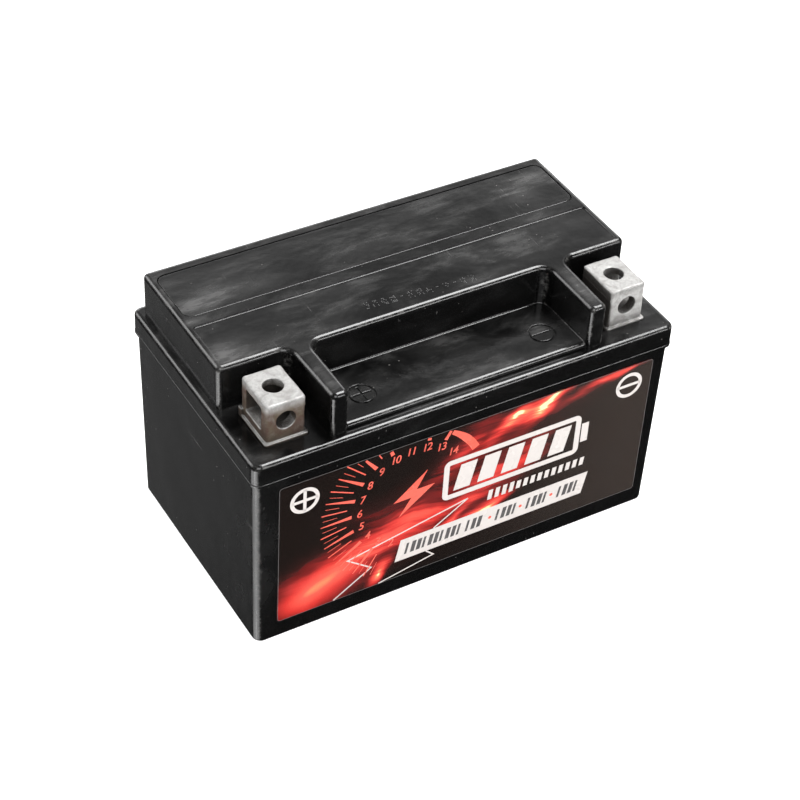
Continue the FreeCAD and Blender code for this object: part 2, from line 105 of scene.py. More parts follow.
def mixed(tree, factor, a, b):
    """Colour a where factor is 0 and b where it is 1; each is a colour or a socket."""
    node = tree.nodes.new("ShaderNodeMix")
    node.data_type = "RGBA"
    for socket, value in ((node.inputs["Factor"], factor), (node.inputs[6], a), (node.inputs[7], b)):
        if isinstance(value, bpy.types.NodeSocket):
            tree.links.new(value, socket)
        elif isinstance(value, (int, float)):
            socket.default_value = value
        else:
            socket.default_value = (*value, 1.0)
    return node.outputs[2]


def bump(tree, height, distance, strength=1.0, normal=None):
    inputs = {"Height": height, "Distance": distance, "Strength": strength}
    if normal is not None:
        inputs["Normal"] = normal
    return put(tree, "ShaderNodeBump", inputs).outputs["Normal"]


def stretched(tree, where, turn, scale):
    """Coordinates turned about Z and scaled unevenly, for scratches that run one way."""
    return put(tree, "ShaderNodeMapping", {
        "Vector": where, "Rotation": (0.0, 0.0, turn), "Scale": scale}).outputs["Vector"]


def soft_spot(tree, where, x, y, half_x, half_y, turn, weight):
    """A soft ellipse in the X-Y plane, in mm, its long side turned by so many degrees."""
    shifted = put(tree, "ShaderNodeMapping", {
        "Vector": where, "Location": (-x * MM, -y * MM, 0.0)}).outputs["Vector"]
    turned = put(tree, "ShaderNodeMapping", {
        "Vector": shifted, "Rotation": (0.0, 0.0, math.radians(-turn))}).outputs["Vector"]
    sized = put(tree, "ShaderNodeVectorMath", {
        0: turned, 1: (1 / (half_x * MM), 1 / (half_y * MM), 0.0)}, operation="MULTIPLY").outputs[0]
    ball = put(tree, "ShaderNodeTexGradient", {"Vector": sized}, gradient_type="QUADRATIC_SPHERE")
    return maths(tree, "MULTIPLY", ball.outputs["Fac"], weight)


def soft_spots(tree, where, spots):
    """The sum of several soft ellipses."""
    total = None
    for spot in spots:
        part = soft_spot(tree, where, *spot)
        total = part if total is None else maths(tree, "ADD", total, part)
    return total


# ---------------------------------------------------------------- materials

# greyish patches, part handling film and part painted sheen of the lights on the tops: x, y, half length,
# half width in mm, turn in degrees, weight
CASE_RUBS_AND_SHEEN = ((-75.0, -42.0, 12.0, 12.0, 0.0, 0.5),)
COVER_RUBS_AND_SHEEN = (
    (-68.0, -8.0, 18.0, 12.0, 20.0, 1.0), (-54.0, -9.0, 22.0, 6.0, 8.0, 0.5),
    (-70.0, 9.5, 10.0, 5.0, 0.0, 0.8), (-39.0, -24.0, 9.0, 11.0, 0.0, 1.1),
    (-28.0, -27.0, 14.0, 8.0, 15.0, 0.5), (0.0, -37.5, 60.0, 4.5, 0.0, 0.5),
    (33.0, -26.0, 12.0, 9.0, 30.0, 0.5), (62.0, 2.0, 16.0, 9.0, -10.0, 0.35),
    (45.8, -28.0, 5.0, 16.0, 0.0, 0.9), (-46.0, -31.0, 5.0, 15.0, 0.0, 0.6),
    (-71.0, -39.0, 9.0, 6.0, -20.0, 0.8), (30.0, -10.0, 34.0, 6.0, 4.0, 0.25),
)
VENT_RUBS_AND_SHEEN = (
    (-64.0, 18.0, 22.0, 8.0, 6.0, 1.0), (-44.0, 17.5, 18.0, 7.0, 5.0, 0.6),
    (56.0, 22.0, 14.0, 9.0, -15.0, 0.6), (-8.0, 20.0, 26.0, 7.0, 8.0, 0.3),
    (64.0, 29.0, 10.0, 6.0, 0.0, 0.5),
)


def edge_mask(tree):
    """1 on fillets and rounded corners, where no axis is square to the surface, and 0 on flat faces."""
    normal = put(tree, "ShaderNodeNewGeometry").outputs["Normal"]
    sides = put(tree, "ShaderNodeSeparateXYZ", {
        "Vector": put(tree, "ShaderNodeVectorMath", {0: normal}, operation="ABSOLUTE").outputs[0]}).outputs
    widest = maths(tree, "MAXIMUM", maths(tree, "MAXIMUM", sides["X"], sides["Y"]), sides["Z"])
    return spread(tree, widest, 0.985, 0.80)


def upward(tree):
    """1 where the surface looks up, falling to 0.15 on walls and undersides; it keeps the greyish patches of
    handling film and painted sheen to the tops.
    """
    normal = put(tree, "ShaderNodeNewGeometry").outputs["Normal"]
    height = put(tree, "ShaderNodeSeparateXYZ", {"Vector": normal}).outputs["Z"]
    return spread(tree, height, 0.05, 0.9, 0.15, 1.0)


RUB_AND_SHEEN_GAIN = (22.0, 21.7, 21.4)       # a full patch of handling film and painted sheen is the tone times this, in R, G, B
CLEAN_GAIN = 0.75                   # and plastic outside the patches is the tone times this
# worn edges, lightened also to serve as painted highlights on fillets and corners
SCUFF_AND_HIGHLIGHT_COLOUR = (0.12, 0.117, 0.112)
SCRATCH_COLOUR = (0.16, 0.157, 0.152)
DUST_COLOUR = (0.17, 0.16, 0.15)


def hairlines(tree, where):
    """Fine straight scratches that run in two directions."""
    one_way = fractal(tree, stretched(tree, where, 0.5, (900.0, 26.0, 300.0)), 1.0, 2.0, 0.5)
    other_way = fractal(tree, stretched(tree, where, -0.9, (30.0, 1100.0, 260.0)), 1.0, 2.0, 0.5)
    return maths(tree, "MAXIMUM", spread(tree, one_way, 0.70, 0.80), spread(tree, other_way, 0.72, 0.82))


def dust_specks(tree, where):
    """Small round specks of uneven size, gathered in drifts."""
    specks = put(tree, "ShaderNodeTexVoronoi", {"Vector": where, "Scale": 420.0, "Randomness": 1.0})
    size = spread(tree, fractal(tree, where, 900.0, 1.0), 0.45, 0.75, 0.0, 0.15)
    dust = maths(tree, "LESS_THAN", specks.outputs["Distance"], size)
    return maths(tree, "MULTIPLY", dust, spread(tree, fractal(tree, where, 60.0, 2.0), 0.5, 0.62))


def plastic_relief(tree, where, scratches):
    """The plastic's normal: orange peel, broad sink marks, fine grain and cut scratches."""
    peel = bump(tree, fractal(tree, where, 150.0, 2.0), 0.00010)
    sink = bump(tree, fractal(tree, where, 36.0, 1.0), 0.00030, 1.0, peel)
    grain = bump(tree, fractal(tree, where, 3200.0, 2.0), 0.000012, 0.6, sink)
    return bump(tree, maths(tree, "SUBTRACT", 1.0, scratches), 0.00001, 0.8, grain)


def moulded_plastic(name, tone, gloss, streak, offset, rubs_and_sheen):
    """Black injection-moulded plastic: flow clouds, greyish patches that are part handling film and part
    painted sheen, worn edges lightened also as painted highlights, scratches and dust.
    """
    mat, tree, shader = material(name, (tone, tone, tone), gloss)
    where = put(tree, "ShaderNodeVectorMath", {0: place(tree), 1: offset}, operation="ADD").outputs[0]
    along = put(tree, "ShaderNodeMapping", {"Vector": where, "Scale": streak}).outputs["Vector"]
    cloudy = spread(tree, fractal(tree, along, 1.0, 7.0, 0.64, 0.9), 0.40, 0.66)
    closer = put(tree, "ShaderNodeMapping", {
        "Vector": along, "Location": (7.0, 3.0, 5.0), "Scale": (3.0, 3.4, 3.4)}).outputs["Vector"]
    smears = spread(tree, fractal(tree, closer, 1.0, 6.0, 0.66), 0.42, 0.66)
    mottle = maths(tree, "MULTIPLY", cloudy, maths(tree, "ADD", maths(tree, "MULTIPLY", smears, 0.75), 0.25))
    broken = spread(tree, smears, 0.0, 1.0, 0.5, 1.0)
    handled_and_sheen = maths(tree, "MULTIPLY", soft_spots(tree, place(tree), rubs_and_sheen), broken)
    patchy = maths(tree, "ADD", maths(tree, "MULTIPLY", mottle, 0.55), handled_and_sheen)
    rubbed_and_sheen = maths(tree, "MULTIPLY", patchy, upward(tree))
    scratches = maths(tree, "MULTIPLY", hairlines(tree, where), smears)
    dusty = dust_specks(tree, where)
    chipped = spread(tree, fractal(tree, where, 380.0, 4.0, 0.65), 0.46, 0.66)
    edges = maths(tree, "MULTIPLY", edge_mask(tree), chipped)
    # painted sheen: the greyish patches on upward faces stand partly for handling film, partly for the
    # lights' soft reflection
    base = mixed(tree, rubbed_and_sheen, (tone * CLEAN_GAIN,) * 3, tuple(tone * gain for gain in RUB_AND_SHEEN_GAIN))
    # painted highlight: fillets and rounded corners are lightened, part wear and part painted highlight
    scuffed_and_highlit = mixed(tree, maths(tree, "MULTIPLY", edges, 0.5), base, SCUFF_AND_HIGHLIGHT_COLOUR)
    worn = mixed(tree, maths(tree, "MULTIPLY", scratches, 0.5), scuffed_and_highlit, SCRATCH_COLOUR)
    dirty = mixed(tree, maths(tree, "MULTIPLY", dusty, 0.6), worn, DUST_COLOUR)
    tree.links.new(dirty, shader.inputs["Base Color"])
    rough = maths(tree, "ADD", maths(tree, "MULTIPLY", patchy, 0.18), gloss)
    marked = maths(tree, "MAXIMUM", scratches, dusty)
    marks = maths(tree, "MAXIMUM", marked, maths(tree, "MULTIPLY", edges, 0.8))
    rougher = maths(tree, "ADD", rough, maths(tree, "MULTIPLY", marks, 0.16))
    tree.links.new(rougher, shader.inputs["Roughness"])
    tree.links.new(plastic_relief(tree, where, scratches), shader.inputs["Normal"])
    return mat


def crevices(tree, reach):
    """1 in hollows and beside walls, 0 in the open, for painted shade where less light reaches."""
    shade = put(tree, "ShaderNodeAmbientOcclusion", {"Distance": reach})
    shade.samples = 6
    return spread(tree, shade.outputs["AO"], 0.70, 0.48)


LEAD_TONE = (0.45, 0.444, 0.433)
LEAD_SIDE_LIGHT_GAIN = 1.08               # painted light: upright faces are made this much paler than the top
LEAD_OXIDE = (0.22, 0.21, 0.20)
TARNISH_RED = (0.075, 0.040, 0.027)
TARNISH_BROWN = (0.092, 0.068, 0.044)
# painted shade: hollows and the metal beside walls are darkened towards this colour
HOLLOW_SHADE_COLOUR = (0.018, 0.014, 0.011)
HOLLOW_SHADE_REACH = 0.014                 # m
STAIN_TOP_Z, STAIN_FULL_Z = 0.0905, 0.0862


def cast_lead(name, rust, offset):
    """Cast lead alloy with blotches of oxide and painted shade in its hollows; rust, 0 to 1, adds a brown
    stain low down.
    """
    mat, tree, shader = material(name, LEAD_TONE, 0.5, 0.35)
    where = put(tree, "ShaderNodeVectorMath", {0: place(tree), 1: offset}, operation="ADD").outputs[0]
    blotch = fractal(tree, where, 260.0, 6.0, 0.68, 0.8)
    fine = fractal(tree, where, 1500.0, 4.0, 0.6)
    oxide = spread(tree, maths(tree, "ADD", blotch, maths(tree, "MULTIPLY", fine, 0.25)), 0.58, 0.74)
    normal = put(tree, "ShaderNodeSeparateXYZ", {
        "Vector": put(tree, "ShaderNodeNewGeometry").outputs["Normal"]}).outputs
    side = spread(tree, normal["Z"], 0.6, 0.1)
    # painted light: upright faces are lighter than the top
    side_lit = mixed(tree, side, LEAD_TONE, tuple(c * LEAD_SIDE_LIGHT_GAIN for c in LEAD_TONE))
    cast_tone = mixed(tree, spread(tree, fine, 0.3, 0.7), (0.72, 0.72, 0.72), (1.0, 1.0, 1.0))
    metal = put(tree, "ShaderNodeVectorMath", {0: side_lit, 1: cast_tone}, operation="MULTIPLY").outputs[0]
    base = mixed(tree, maths(tree, "MULTIPLY", oxide, 0.6), metal, LEAD_OXIDE)
    height = put(tree, "ShaderNodeSeparateXYZ", {"Vector": place(tree)}).outputs
    low = spread(tree, height["Z"], STAIN_TOP_Z, STAIN_FULL_Z)
    stain_noise = spread(tree, fractal(tree, where, 190.0, 5.0, 0.65, 1.2), 0.30, 0.55, 0.84, 1.0)
    stain = maths(tree, "MULTIPLY", maths(tree, "MULTIPLY", low, side), stain_noise)
    tarnish_mix = spread(tree, fractal(tree, where, 330.0, 3.0), 0.35, 0.65)
    tarnish = mixed(tree, tarnish_mix, TARNISH_RED, TARNISH_BROWN)
    stained = mixed(tree, maths(tree, "MULTIPLY", stain, rust), base, tarnish)
    # painted shade darkens the hollows and the faces beside walls
    shade_in_hollows = crevices(tree, HOLLOW_SHADE_REACH)
    shaded = mixed(tree, maths(tree, "MULTIPLY", shade_in_hollows, 0.97), stained, HOLLOW_SHADE_COLOUR)
    tree.links.new(shaded, shader.inputs["Base Color"])
    dull = maths(tree, "MAXIMUM", stain, shade_in_hollows)
    bare = maths(tree, "SUBTRACT", 1.0, dull)
    tree.links.new(maths(tree, "MULTIPLY", bare, 0.4), shader.inputs["Metallic"])
    uneven = spread(tree, blotch, 0.35, 0.7, 0.42, 0.60)
    rough = maths(tree, "ADD", uneven, maths(tree, "MULTIPLY", dull, 0.2))
    tree.links.new(rough, shader.inputs["Roughness"])
    files = fractal(tree, stretched(tree, where, 0.35, (2600.0, 160.0, 900.0)), 1.0, 3.0, 0.6)
    cast = bump(tree, fractal(tree, where, 620.0, 4.0, 0.6), 0.00014, 0.9)
    tree.links.new(bump(tree, files, 0.00003, 0.6, cast), shader.inputs["Normal"])
    return mat


def speckled(name, dark, light, scale, roughness, depth, metallic=0.0, specular=0.5):
    """A plain two-tone grainy material: rubber, resin, porous disc, paste, glass mat, dull lead."""
    mat, tree, shader = material(name, light, roughness, metallic, specular)
    where = place(tree)
    grain = fractal(tree, where, scale, 5.0, 0.65)
    broad = fractal(tree, where, scale * 0.12, 3.0)
    tone = maths(tree, "ADD", maths(tree, "MULTIPLY", grain, 0.65), maths(tree, "MULTIPLY", broad, 0.35))
    tree.links.new(mixed(tree, spread(tree, tone, 0.35, 0.65), dark, light), shader.inputs["Base Color"])
    rough = spread(tree, broad, 0.3, 0.7, roughness - 0.08, roughness + 0.1)
    tree.links.new(rough, shader.inputs["Roughness"])
    tree.links.new(bump(tree, grain, depth), shader.inputs["Normal"])
    return mat


# the label's soft glows: x, z, half length, half height in mm, turn in degrees, weight
GLOWS = (
    (-57.0, 15.5, 36.0, 19.0, 8.0, 0.62), (-50.0, 16.5, 46.0, 20.0, 20.0, 0.38),
    (-36.0, 22.0, 52.0, 20.0, 26.0, 0.34), (-30.0, 11.0, 11.0, 4.0, 52.0, 0.95),
    (-22.0, 28.0, 46.0, 12.0, 18.0, 0.42), (-3.0, 26.0, 16.0, 3.5, 30.0, 0.80),
    (8.5, 24.4, 17.0, 6.0, 20.0, 1.45), (3.0, 33.0, 44.0, 16.0, 22.0, 0.44),
    (-27.0, 37.0, 34.0, 9.0, -16.0, 0.20), (22.0, 42.5, 36.0, 14.0, 30.0, 0.30),
    (16.5, 59.4, 19.0, 5.4, 38.0, 1.00), (29.0, 60.4, 20.0, 6.0, 34.0, 1.22),
    (21.0, 59.0, 44.0, 11.0, 26.0, 0.48), (50.0, 62.0, 28.0, 4.6, 18.0, 0.60),
    (0.0, 56.5, 28.0, 13.0, 38.0, 0.44), (-8.0, 45.0, 28.0, 11.0, 16.0, 0.22),
    (60.0, 63.3, 16.0, 2.8, 12.0, 0.40),
)


CALM_GLOW = (-56.0, 11.0, 40.0, 24.0, 12.0, 1.6)      # where the glow is smooth and has no wisps
# heat, colour
GLOW_STOPS = (
    (0.10, (0.028, 0.008, 0.007)), (0.24, (0.17, 0.011, 0.010)), (0.42, (0.60, 0.030, 0.024)),
    (0.72, (0.94, 0.105, 0.070)), (0.90, (0.98, 0.30, 0.12)),
)


def printed_film(name):
    """Glossy printed vinyl: a near-black ground, painted paler towards the right as a reflection, with a red
    and orange glow drawn out into wisps.
    """
    mat, tree, shader = material(name, (0.01, 0.006, 0.005), 0.2, 0.0, 0.5)
    where = place(tree)
    drift = put(tree, "ShaderNodeTexNoise", {"Vector": where, "Scale": 42.0, "Detail": 3.0, "Roughness": 0.5})
    pushed = put(tree, "ShaderNodeVectorMath", {
        0: drift.outputs["Color"], 1: (0.5, 0.5, 0.5)}, operation="SUBTRACT")
    scaled = put(tree, "ShaderNodeVectorMath", {0: pushed.outputs[0], "Scale": 0.010}, operation="SCALE")
    warped = put(tree, "ShaderNodeVectorMath", {0: where, 1: scaled.outputs[0]}, operation="ADD").outputs[0]
    upright = put(tree, "ShaderNodeMapping", {
        "Vector": warped, "Rotation": (math.radians(-90.0), 0.0, 0.0)}).outputs["Vector"]
    total = soft_spots(tree, upright, GLOWS)
    drawn_out = put(tree, "ShaderNodeMapping", {
        "Vector": warped, "Rotation": (0.0, math.radians(30.0), 0.0),
        "Scale": (26.0, 1.0, 260.0)}).outputs["Vector"]
    streaks = fractal(tree, drawn_out, 1.0, 4.0, 0.6, 0.3)
    calm = spread(tree, soft_spot(tree, upright, *CALM_GLOW), 0.0, 0.8)
    drawn = spread(tree, streaks, 0.30, 0.70, 0.48, 1.24)
    even = maths(tree, "ADD", maths(tree, "MULTIPLY", drawn, maths(tree, "SUBTRACT", 1.0, calm)),
                 maths(tree, "MULTIPLY", calm, 0.84))
    heat = maths(tree, "MULTIPLY", total, even)
    ramp = put(tree, "ShaderNodeValToRGB", {"Fac": heat})
    stops = ramp.color_ramp.elements
    stops[0].position, stops[0].color = 0.0, (0.0085, 0.0055, 0.0045, 1.0)
    stops[1].position, stops[1].color = 1.0, (1.0, 0.85, 0.45, 1.0)
    for position, colour in GLOW_STOPS:
        stops.new(position).color = (*colour, 1.0)
    dots = put(tree, "ShaderNodeTexVoronoi", {"Vector": where, "Scale": 2600.0})
    across = put(tree, "ShaderNodeSeparateXYZ", {"Vector": where}).outputs["X"]
    # painted reflection: the ground grows lighter towards the right
    ground = mixed(tree, spread(tree, across, -0.01, 0.07), (0.0, 0.0, 0.0), (0.026, 0.021, 0.018))
    lit = put(tree, "ShaderNodeVectorMath", {0: ramp.outputs["Color"], 1: ground}, operation="ADD").outputs[0]
    screen = spread(tree, dots.outputs["Distance"], 0.1, 0.6, 0.0, 0.12)
    printed = mixed(tree, screen, lit, (0.01, 0.004, 0.003))
    tree.links.new(printed, shader.inputs["Base Color"])
    sheen = spread(tree, fractal(tree, where, 80.0, 4.0), 0.3, 0.7, 0.14, 0.27)
    tree.links.new(sheen, shader.inputs["Roughness"])
    waves = bump(tree, fractal(tree, where, 42.0, 2.0), 0.0001, 1.0)
    grain = bump(tree, fractal(tree, where, 1400.0, 2.0), 0.000006, 0.6, waves)
    tree.links.new(grain, shader.inputs["Normal"])
    shader.inputs["Coat Weight"].default_value = 0.3
    shader.inputs["Coat Roughness"].default_value = 0.08
    return mat


def ink(name, colour, worn, roughness=0.3):
    """Printing ink under the film, a little uneven in cover."""
    mat, tree, shader = material(name, colour, roughness)
    where = place(tree)
    cover = spread(tree, fractal(tree, where, 900.0, 4.0, 0.6), 0.42, 0.72, 0.0, 0.3)
    tree.links.new(mixed(tree, cover, colour, worn), shader.inputs["Base Color"])
    sheen = spread(tree, fractal(tree, where, 80.0, 4.0), 0.3, 0.7, roughness - 0.08, roughness + 0.06)
    tree.links.new(sheen, shader.inputs["Roughness"])
    tree.links.new(bump(tree, fractal(tree, where, 42.0, 2.0), 0.0001), shader.inputs["Normal"])
    return mat


def studio_floor(name):
    """White paper with a glow of its own, so that the battery's shade on it stays faint."""
    mat, tree, shader = material(name, (0.93, 0.93, 0.93), 0.9, 0.0, 0.2)
    tone = spread(tree, fractal(tree, place(tree), 3.0, 2.0), 0.3, 0.7)
    tree.links.new(mixed(tree, tone, (0.80, 0.80, 0.80), (0.82, 0.82, 0.82)), shader.inputs["Base Color"])
    shader.inputs["Emission Color"].default_value = (1.0, 1.0, 1.0, 1.0)
    shader.inputs["Emission Strength"].default_value = 0.78
    return mat


MATERIALS = {
    "case_black": moulded_plastic(
        "case_plastic", 0.0030, 0.20, (26.0, 26.0, 14.0), (0.3, 0.1, 0.2), CASE_RUBS_AND_SHEEN),
    "cover_black": moulded_plastic(
        "cover_plastic", 0.0034, 0.16, (22.0, 48.0, 48.0), (0.1, 0.2, 0.5), COVER_RUBS_AND_SHEEN),
    "vent_black": moulded_plastic(
        "vent_plastic", 0.0034, 0.17, (18.0, 60.0, 60.0), (0.7, 0.4, 0.1), VENT_RUBS_AND_SHEEN),
    "label_print": printed_film("label_film"),
    "lead_bright": cast_lead("terminal_lead", 0.0, (0.2, 0.5, 0.1)),
    "lead_dull": speckled(
        "dull_lead", (0.10, 0.10, 0.11), (0.26, 0.26, 0.27), 900.0, 0.5, 0.00004, 0.9),
    "black_rubber": speckled(
        "black_rubber", (0.012, 0.012, 0.012), (0.028, 0.027, 0.026), 1200.0, 0.62, 0.00002),
    "black_resin": speckled(
        "black_resin", (0.006, 0.006, 0.007), (0.02, 0.02, 0.021), 500.0, 0.25, 0.00002),
    "red_resin": speckled(
        "red_resin", (0.16, 0.008, 0.006), (0.32, 0.016, 0.010), 500.0, 0.25, 0.00002),
    "porous_disc": speckled(
        "porous_disc", (0.30, 0.29, 0.27), (0.72, 0.71, 0.67), 2600.0, 0.9, 0.0001),
    "positive_paste": speckled(
        "positive_paste", (0.050, 0.022, 0.014), (0.13, 0.058, 0.034), 1400.0, 0.85, 0.00008),
    "negative_paste": speckled(
        "negative_paste", (0.10, 0.105, 0.11), (0.23, 0.235, 0.24), 1400.0, 0.75, 0.00008),
    "glass_mat": speckled(
        "glass_mat", (0.55, 0.56, 0.55), (0.86, 0.86, 0.84), 1800.0, 0.95, 0.0001),
}
STAINED_LEAD = cast_lead("terminal_lead_stained", 1.0, (0.6, 0.1, 0.4))
WHITE_INK = ink("white_ink", (0.60, 0.56, 0.535), (0.53, 0.49, 0.47))
SALMON_INK = ink("salmon_ink", (0.80, 0.115, 0.075), (0.60, 0.06, 0.04))
GREY_INK = ink("grey_ink", (0.085, 0.08, 0.08), (0.16, 0.15, 0.15))

for part in frame["record"]["subparts"]:
    target = NODES[part["node"]].data
    target.materials.clear()
    target.materials.append(MATERIALS[part["material_slot"]])


# ---------------------------------------------------------------- mesh helpers

def new_object(name, mesh):
    made = bpy.data.objects.new(name, mesh)
    SCENE.collection.objects.link(made)
    return made


def apply_modifiers(thing):
    """Turns the object's modifiers into its mesh."""
    graph = bpy.context.evaluated_depsgraph_get()
    mesh = bpy.data.meshes.new_from_object(thing.evaluated_get(graph))
    thing.modifiers.clear()
    thing.data = mesh
    return thing


def detailed_copy(node, name):
    """A separate object with its own copy of a CAD node's mesh."""
    return new_object(name, NODES[node].data.copy())


# ---------------------------------------------------------------- terminals

CAST_VOXEL = 0.22                   # mm
CAST_WAVES = ((190.0, 0.13), (700.0, 0.05), (1900.0, 0.02))     # waves in a metre, height in mm
MOST_PUSH = 0.2                     # mm, the most that a face moves out
PARTING_Z = 0.0868                  # m, where the two halves of the mould met
PARTING_HALF, PARTING_RISE = 0.35, 0.22     # mm


def cast_terminal(node, name, seed, mat):
    """The terminal remade as a rough casting: soft edges, uneven faces, a parting line on its inner side."""
    thing = detailed_copy(node, name)
    remesh = thing.modifiers.new("remesh", "REMESH")
    remesh.mode = "VOXEL"
    remesh.voxel_size = CAST_VOXEL * MM
    remesh.use_smooth_shade = True
    soften = thing.modifiers.new("soften", "SMOOTH")
    soften.factor = 0.5
    soften.iterations = 3
    apply_modifiers(thing)
    low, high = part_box(node)
    middle = (low.x + high.x) / 2
    side = 1.0 if middle > 0 else -1.0
    shift = Vector((seed * 3.1, seed * 1.7, 0.0))
    mesh = thing.data
    normals = [v.normal.copy() for v in mesh.vertices]
    for vertex, normal in zip(mesh.vertices, normals):
        p = vertex.co
        push = sum(noise.noise(p * waves + shift) * height for waves, height in CAST_WAVES) * MM
        if normal.x * side < -0.7:
            drop = abs((p.z - PARTING_Z) / MM + noise.noise(p * 400.0 + shift) * 0.5)
            push += max(0.0, 1.0 - drop / PARTING_HALF) * PARTING_RISE * MM
        vertex.co = p + normal * min(push, MOST_PUSH * MM)
    mesh.materials.clear()
    mesh.materials.append(mat)
    mesh.polygons.foreach_set("use_smooth", [True] * len(mesh.polygons))
    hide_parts(node)
    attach(thing, "case")


cast_terminal("negative_terminal", "negative_terminal_cast", 4, MATERIALS["lead_bright"])
cast_terminal("positive_terminal", "positive_terminal_cast", 9, STAINED_LEAD)


# ---------------------------------------------------------------- label

LABEL_LOW, LABEL_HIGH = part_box("front_label")
FILM_T = 0.2
INK_T = 0.03
INK_FOOT = -0.01         # the ink starts this far under the film's face, so that no gap shows
TOP_LEFT = Vector((LABEL_LOW.x / MM, LABEL_HIGH.z / MM))
BOTTOM_RIGHT = Vector((LABEL_HIGH.x / MM, LABEL_LOW.z / MM))
TOP_FACE_Y = LABEL_LOW.y / MM
LEAN = 0.7 / 67.75       # the container's front wall leans back this much per mm going down


def on_face(x, z, out):
    """The point on the label's printed face at x, z in mm, standing out by so many mm."""
    return Vector((x, TOP_FACE_Y + (TOP_LEFT.y - z) * LEAN - out, z)) * MM


def flat_pieces(name, outlines, out_low, out_high, mat):
    """Thin flat pieces on the label's face, one for each outline; an outline is a list of x, z loops."""
    builder = bmesh.new()
    for loop in outlines:
        front = [builder.verts.new(on_face(x, z, out_high)) for x, z in loop]
        back = [builder.verts.new(on_face(x, z, out_low)) for x, z in loop]
        count = len(loop)
        builder.faces.new(front)
        builder.faces.new(back[::-1])
        for i in range(count):
            j = (i + 1) % count
            builder.faces.new((front[j], front[i], back[i], back[j]))
    bmesh.ops.triangulate(builder, faces=[f for f in builder.faces if len(f.verts) > 4])
    bmesh.ops.recalc_face_normals(builder, faces=builder.faces)
    mesh = bpy.data.meshes.new(name)
    builder.to_mesh(mesh)
    builder.free()
    mesh.materials.append(mat)
    made = new_object(name, mesh)
    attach(made, "case")
    return made


def ribbon_quads(points, width, closed=False, taper=None):
    """Quads that follow a line of x, z points, mitred at its corners."""
    pts = [Vector(p) for p in points]
    count = len(pts)
    sides = []
    for i, p in enumerate(pts):
        before = pts[i - 1] if closed or i else None
        after = pts[(i + 1) % count] if closed or i < count - 1 else None
        into = (p - before).normalized() if before is not None else None
        away = (after - p).normalized() if after is not None else None
        if into is None:
            into = away
        if away is None:
            away = into
        normal_in = Vector((-into.y, into.x))
        bisector = (normal_in + Vector((-away.y, away.x))).normalized()
        half = (width if taper is None else taper[i]) / 2
        reach = half / max(0.35, bisector.dot(normal_in))
        sides.append((p + bisector * reach, p - bisector * reach))
    quads = []
    for i in range(count if closed else count - 1):
        (a, b), (c, d) = sides[i], sides[(i + 1) % count]
        quads.append([tuple(a), tuple(b), tuple(d), tuple(c)])
    return quads


def arc_points(x, z, radius, start, end, steps):
    """Points along an arc, its start and end in degrees."""
    angles = [math.radians(start + (end - start) * i / steps) for i in range(steps + 1)]
    return [(x + radius * math.cos(angle), z + radius * math.sin(angle)) for angle in angles]


def rounded(x0, z0, x1, z1, radius, steps=6):
    """A rectangle's outline with rounded corners."""
    loop = []
    for cx, cz, start in ((x1 - radius, z1 - radius, 0), (x0 + radius, z1 - radius, 90),
                          (x0 + radius, z0 + radius, 180), (x1 - radius, z0 + radius, 270)):
        loop += arc_points(cx, cz, radius, start, start + 90, steps)
    return loop


def slanted(x0, z0, x1, z1, slant=0.0):
    """A rectangle's outline whose top is shifted right by slant times its height."""
    shift = slant * (z1 - z0)
    return [(x0, z0), (x1, z0), (x1 + shift, z1), (x0 + shift, z1)]


def label_film():
    """The vinyl sheet, with rounded corners."""
    loop = rounded(TOP_LEFT.x, BOTTOM_RIGHT.y, BOTTOM_RIGHT.x, TOP_LEFT.y, 1.2)
    film = flat_pieces("label_sheet", [loop], -FILM_T + 0.01, 0.0, MATERIALS["label_print"])
    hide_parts("front_label")


label_film()

DIAL_X, DIAL_Z = -19.8, 41.5
NUMBER_R = 19.0
NUMBER_SIZE = 4.3
STEP = 17.1              # degrees from one number to the next
SIX_ANGLE = 180.0        # where the 6 stands
TICK_R = 21.8            # where the long marks start
TICK_PARTS, TICK_PART = 12, 0.9
TICK_WIDTH, TICK_TAPER = 1.35, 0.09
# how far on to the next number, width, start radius, length in mm
SHORT_MARKS = ((0.5, 0.42, 23.8, 9), (0.25, 0.16, 27.0, 5), (0.75, 0.16, 27.0, 5))


def dial_angle(number):
    """Where a number stands on the dial, in degrees."""
    return SIX_ANGLE - (number - 6) * STEP


def dial_point(radius, angle):
    """The x, z point at a radius and an angle from the dial's middle."""
    turn = math.radians(angle)
    return (DIAL_X + radius * math.cos(turn), DIAL_Z + radius * math.sin(turn))


def inside(quad):
    """True if the whole quad lies on the label."""
    return all(TOP_LEFT.x + 0.5 < x < BOTTOM_RIGHT.x - 0.5
               and BOTTOM_RIGHT.y + 0.5 < z < TOP_LEFT.y - 0.2 for x, z in quad)


def dial_ticks():
    """Long tapered marks at the numbers and shorter, thinner ones between them."""
    quads = []
    for number in range(3, 14):
        angle = dial_angle(number)
        for step in range(TICK_PARTS):
            inner, outer = TICK_R + step * TICK_PART, TICK_R + (step + 1) * TICK_PART
            widths = [TICK_WIDTH - TICK_TAPER * step, TICK_WIDTH - TICK_TAPER * (step + 1)]
            quads += ribbon_quads([dial_point(inner, angle), dial_point(outer, angle)], 0, taper=widths)
        for part, width, start, length in SHORT_MARKS:
            between = angle + STEP * part
            for step in range(length):
                line = [dial_point(start + step, between), dial_point(start + step + 1, between)]
                quads += ribbon_quads(line, width)
    return [q for q in quads if inside(q)]


flat_pieces("label_dial_ticks", dial_ticks(), INK_FOOT, INK_T, SALMON_INK)
BAND_STEPS = 18
BAND_WIDTHS = [1.6 + 1.2 * min(1.0, i / 9) for i in range(BAND_STEPS + 1)]
flat_pieces("label_dial_band",
            ribbon_quads(arc_points(DIAL_X, DIAL_Z, 25.0, 58.0, 26.5, BAND_STEPS), 0, taper=BAND_WIDTHS),
            INK_FOOT, INK_T + 0.004, SALMON_INK)


